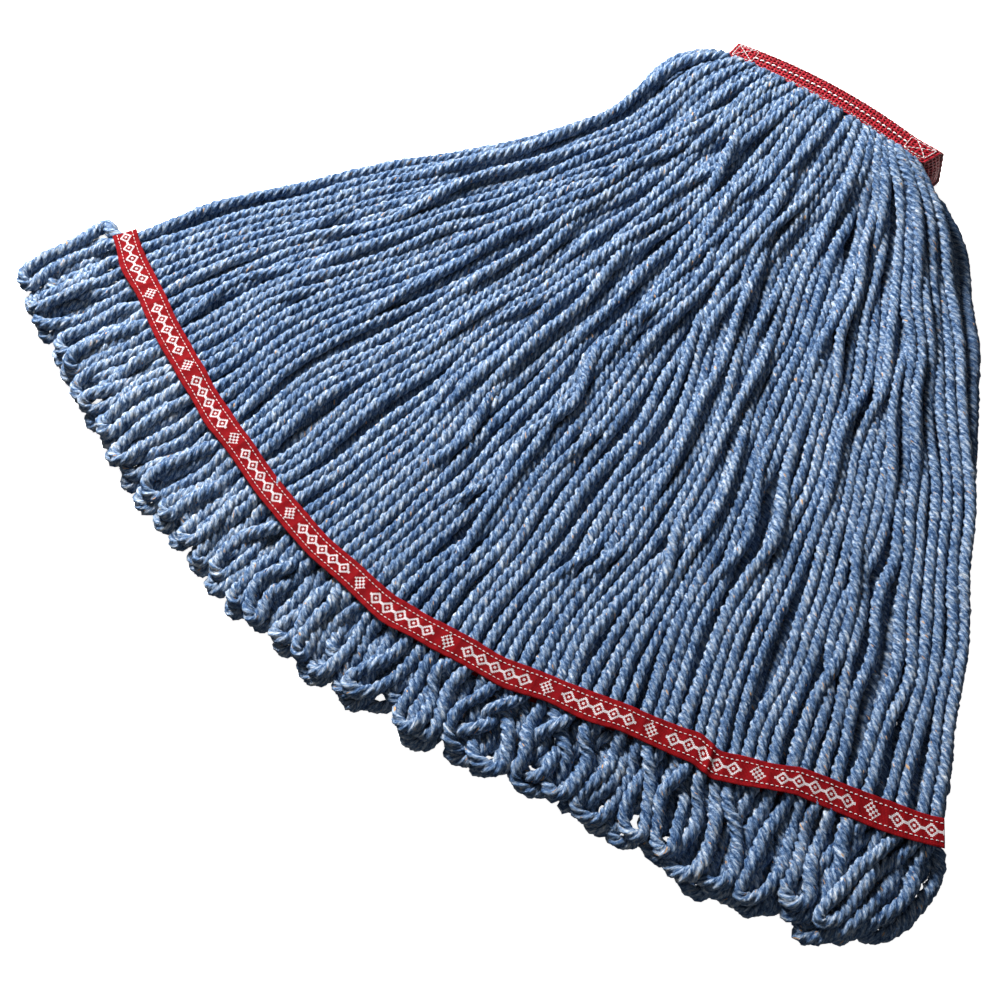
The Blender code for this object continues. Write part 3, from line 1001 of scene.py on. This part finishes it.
def build_mesh_tape():
    """The open-mesh tape: coated strands over and under each other, with real holes."""
    section = head_section(WALL)
    rows = int(round(distances_along(section)[-1] / (2.4 * MM)))
    columns = int(round(2 * HEAD_HALF / (2.75 * MM)))
    fine = evenly_straight(section, rows * 2 + 1)
    xs = np.linspace(-HEAD_HALF + 0.7 * MM, HEAD_HALF - 0.7 * MM, columns * 2 + 1)[:, None]
    tape = Threads()
    normals = grid(0 * xs, *facing_out(fine).T)
    weave(tape, grid(xs, *fine.T), normals, 0.28 * MM, 0.74 * MM, 0.68 * MM)
    # The same mesh turns in over each open end.
    ys, zs = np.linspace(-14.5, -1.4, 11)[:, None] * MM, np.linspace(2.2, 27.8, 23) * MM
    swell_y, swell_z = [np.sin(np.linspace(0.2, math.pi - 0.2, v.size)) for v in (ys, zs)]
    xs = HEAD_HALF - 1.6 * MM + 2.6 * MM * swell_y[:, None] * swell_z
    for way in (-1, 1):
        points = grid(way * xs, ys, zs)
        normals = np.broadcast_to((way, 0, 0), points.shape)
        weave(tape, points, normals, 0.22 * MM, 0.52 * MM, 0.52 * MM)
    piece = tape.build("headband_mesh", MESH_PAINT, "headband_mesh", bowed)
    over_fold(piece)
    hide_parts("headband_tape_top", "headband_tape_bottom")
    build_painted_shade_sheet()


def build_painted_shade_sheet():
    """A dark sheet of painted shade inside the tape, that shows through the holes of the mesh."""
    section = evenly_straight(head_section(WALL + 0.75 * MM), 25)
    outward = facing_out(section) * 0.15 * MM
    xs = np.linspace(-HEAD_HALF + 0.4 * MM, HEAD_HALF - 0.4 * MM, 41)
    sheets = [grid(xs[:, None], *(section + push).T) for push in (outward, -outward)]
    quads = slab(len(xs), len(section))
    mesh = mesh_from("headband_painted_shade_sheet", bowed(np.vstack(sheets)), quads[:, ::-1])
    piece = shown("headband_painted_shade_sheet", mesh, PAINTED_SHADE_SHEET_PAINT)
    over_fold(piece)
    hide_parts("headband_tape_top", "headband_tape_bottom")


def slab(n, m):
    """Faces of a thin slab: an upper grid of n by m points, then a lower one."""
    index = np.arange(n * m).reshape(n, m)
    a, b, c, d = index[:-1, :-1], index[1:, :-1], index[1:, 1:], index[:-1, 1:]
    upper = np.stack([a, d, c, b], axis=-1).reshape(-1, 4)
    lower = np.stack([a, b, c, d], axis=-1).reshape(-1, 4) + n * m
    rim = np.concatenate([index[:, 0], index[-1, 1:], index[-2::-1, -1], index[0, -2:0:-1]])
    after = np.roll(rim, -1)
    wall = np.stack([rim, after, after + n * m, rim + n * m], axis=-1)
    return np.vstack([upper, lower, wall])


def seam(threads, points, normal, length, gap, half):
    """A row of stitches along a polyline. Each stands a little off the cloth in its middle."""
    points = np.asarray(points, float)
    count = max(1, int(round(distances_along(points)[-1] / length)))
    marks = evenly_straight(points, count + 1)
    t = np.linspace(0, 1, 5)
    lift = 0.35 * MM
    rise = lift * np.sin(math.pi * t) ** 0.6 - lift * (np.abs(t - 0.5) > 0.4)
    for a, b in zip(marks[:-1], marks[1:]):
        trim = (b - a) / np.linalg.norm(b - a) * gap / 2
        line = np.outer(1 - t, a + trim) + np.outer(t, b - trim) + np.outer(rise, normal)
        threads.add(line, half, half * 0.85, np.tile(normal, (len(t), 1)))


def build_head_stitching():
    """Two rows of stitches and two boxed bar tacks on each face of the tape."""
    for side in SIDES:
        sign = 1 if side == "top" else -1
        z = (HEAD_HEIGHT if side == "top" else 0) - sign * 0.45 * MM
        normal = (0, 0, sign)
        y_edge = -HEAD_DEPTH + 0.8 * MM
        for row, y, half in (("front", -9.8 * MM, 0.42 * MM), ("crest", -3.0 * MM, 0.13 * MM)):
            threads = Threads()
            seam(threads, [(-59 * MM, y, z), (59 * MM, y, z)], normal, 4.2 * MM, 1.2 * MM, half)
            if row == "front":
                hem = [(-72 * MM, y_edge, z), (72 * MM, y_edge, z)]
                seam(threads, hem, normal, 2.6 * MM, 0.5 * MM, 0.11 * MM)
            piece = threads.build(f"head_seam_{row}_{side}", THREAD_PAINT, "stitching", bowed)
            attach(piece, f"{side}_curtain")
            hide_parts(f"headband_stitch_{row}_{side}")
        for end, way in (("left", -1), ("right", 1)):
            threads = Threads()
            near, far = way * 58.5 * MM, way * 72.5 * MM
            front, back = -14.2 * MM, -4.0 * MM
            box = [(near, front), (far, front), (far, back), (near, back), (near, front)]
            seam(threads, [(*c, z) for c in box], normal, 2.4 * MM, 0.2 * MM, 0.2 * MM)
            for a, b in ((box[0], box[2]), ((near + way * 4 * MM, back), box[1])):
                seam(threads, [(*a, z), (*b, z)], normal, 2.6 * MM, 0.2 * MM, 0.2 * MM)
            piece = threads.build(f"head_tack_{end}_{side}", THREAD_PAINT, "stitching", bowed)
            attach(piece, f"{side}_curtain")
            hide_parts(f"headband_bartack_{end}_{side}")


def build_fold():
    """The yarn where it turns over inside the headband."""
    rng = np.random.default_rng(51)
    bundle = Bundle()
    for column in range(RUNS // 4):
        group = np.arange(4 * column, 4 * column + 4)
        high = group[np.argmax(layers["top"][group])]
        low = group[np.argmin(layers["bottom"][group])]
        a, b = runs["top"][high, 0], runs["bottom"][low, 0]
        back = -WALL - 2.6 * MM + bowed([a[0], 0, 0])[1]
        line = [a, (a[0], back - 0.8 * MM, a[2] - 0.9 * MM)]
        for near, far in ((0.7, 0.3), (0.3, 0.7)):
            line.append((a[0] * near + b[0] * far, back, a[2] * near + b[2] * far))
        line += [(b[0], back - 0.8 * MM, b[2] + 0.9 * MM), b]
        line = with_steps(np.array(line), 1.5 * MM)
        bundle.yarn(line, 15, np.full(len(line), 0.5), rng)
    piece = bundle.build("yarn_fold")
    over_fold(piece)


build_mesh_tape()
build_head_stitching()
build_fold()

# -------- the tail bands

CELL = 0.72 * MM
ROWS = 22


def figure_at(columns, rows):
    """Whether each cell of the ribbon is white: a row of hollow diamonds, then a checked one."""
    period = 84
    c = columns % period
    r = rows - ROWS // 2 + 0.5
    block = c < 60
    off = np.abs(c % 12 - 5.5)
    reach = off + np.abs(r)
    hollow = block & (reach > 3.5) & (reach < 6)
    heart = block & (reach < 1.5)
    post = block & (off > 5) & (np.abs(r) < 1)
    reach = np.abs(c - 71.5) + np.abs(r)
    diamond = (reach < 7) & ((c // 2 + (r - 0.5) // 2) % 2 == 0)
    return (hollow | heart | post | diamond).astype(float)


def blurred(values, weights):
    """A weighted running mean. Past the ends the values go on as they are."""
    weights = weights / weights.sum()
    return np.convolve(np.pad(values, len(weights) // 2, mode="edge"), weights, mode="valid")


def build_band(side, level, seed):
    """One tail tape: a slab of cells that follows the band's arc, with ripples and one pleat."""
    rng = np.random.default_rng(seed)
    fine = side == "top" and level == "upper"
    cell, rows = (CELL, ROWS) if fine else (2 * CELL, ROWS // 2)
    end = 1.002 if fine else 0.995
    count = int(round(2 * end * FAN_HALF_ANGLE * FAN_RADIUS / cell))
    q = np.linspace(-end, end, count + 1)
    radius = blurred(band_radius(q), np.hanning(2 * max(3, int(round(5 * MM / cell))) + 1))
    at = q * FAN_HALF_ANGLE * FAN_RADIUS

    def ripple(size, length):
        marks = np.arange(at[0] - length, at[-1] + 2 * length, length)
        return blurred(np.interp(at, marks, rng.normal(size=len(marks)) * size), np.ones(17))

    centre = radius - (0 if fine else 1.0 * MM) + ripple(0.9 * MM, 26 * MM)
    half = BAND_HALF - (0 if fine else 1.2 * MM) + ripple(0.35 * MM, 12 * MM)
    height = BAND_BASE[side, level] + BAND_THICK / 2 + (0.5 if fine else 0.1) * MM
    sign = 1 if level == "upper" else -1
    # The tape dips between the runs it crosses.
    dip = 0.5 * MM * np.abs(np.cos(math.pi * (q + 1) * RUNS / 2)) * (1 if level == "upper" else 0.4)
    tilt = ripple(0.9 * MM, 30 * MM) if fine else np.zeros(len(q))
    swell = np.maximum(0, ripple(0.7 * MM, 20 * MM)) if fine else np.zeros(len(q))
    pleat = np.exp(-(((q - 0.61) / 0.006) ** 2)) * (1.6 * MM if fine else 0)
    across = np.linspace(-1, 1, rows + 1)
    edge = 1 - np.abs(across) ** 6
    r = centre[:, None] + across[None, :] * half[:, None]
    r[:, 0] += ripple(0.12 * MM, 2.0 * MM)
    r[:, -1] += ripple(0.12 * MM, 2.0 * MM)
    x, y = on_fan(q[:, None], r)
    z = (
        height
        + sign * (swell - dip + pleat)[:, None] * (0.4 + 0.6 * edge[None, :])
        + tilt[:, None] * across[None, :]
    )
    z = np.maximum(z, BAND_BASE[side, level] - 0.6 * MM if level == "upper" else 0.45 * MM)
    half_thick = 0.32 * MM
    faces = [grid(x, y, z + push) for push in (half_thick, -half_thick)]
    quads = slab(len(q), rows + 1)
    name = f"tail_ribbon_{side}_{level}"
    mesh = mesh_from(name, np.vstack(faces), quads)
    cells = np.indices((len(q) - 1, rows)).reshape(2, -1)
    white = figure_at(*(cells if fine else 2 * cells))
    rim = np.zeros(len(quads) - 2 * len(white))
    write_values(mesh, "figure", np.concatenate([white, white, rim]), "FACE")
    lie = grid(at[:, None], across * BAND_HALF, 0)
    write_values(mesh, "lie", np.vstack([lie, lie]))
    piece = shown(name, mesh, RIBBON_PAINT)
    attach(piece, f"{side}_skirt")
    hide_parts(f"tail_band_{side}_{level}")
    return q, centre, half, z


def build_band_seams(side, q, centre, half, z):
    """Two rows of white running stitch along the outermost face of a curtain's tail band."""
    rows = z.shape[1] - 1
    sign = 1 if side == "top" else -1
    for row, share in (("inner", -0.62), ("outer", 0.62)):
        threads = Threads()
        column = int(round((share + 1) / 2 * rows))
        x, y = on_fan(q, centre + share * half)
        line = np.column_stack([x, y, z[:, column] + sign * 0.28 * MM])
        seam(threads, line, (0, 0, sign), 2.7 * MM, 0.9 * MM, 0.2 * MM)
        piece = threads.build(f"tail_seam_{side}_{row}", THREAD_PAINT, "stitching")
        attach(piece, f"{side}_skirt")
        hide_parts(f"tail_stitch_{side}_{row}")


for side in SIDES:
    for level in ("lower", "upper"):
        lie = build_band(side, level, {"bottom": 60, "top": 64}[side] + (level == "upper"))
        if (side, level) in (("top", "upper"), ("bottom", "lower")):
            build_band_seams(side, *lie)
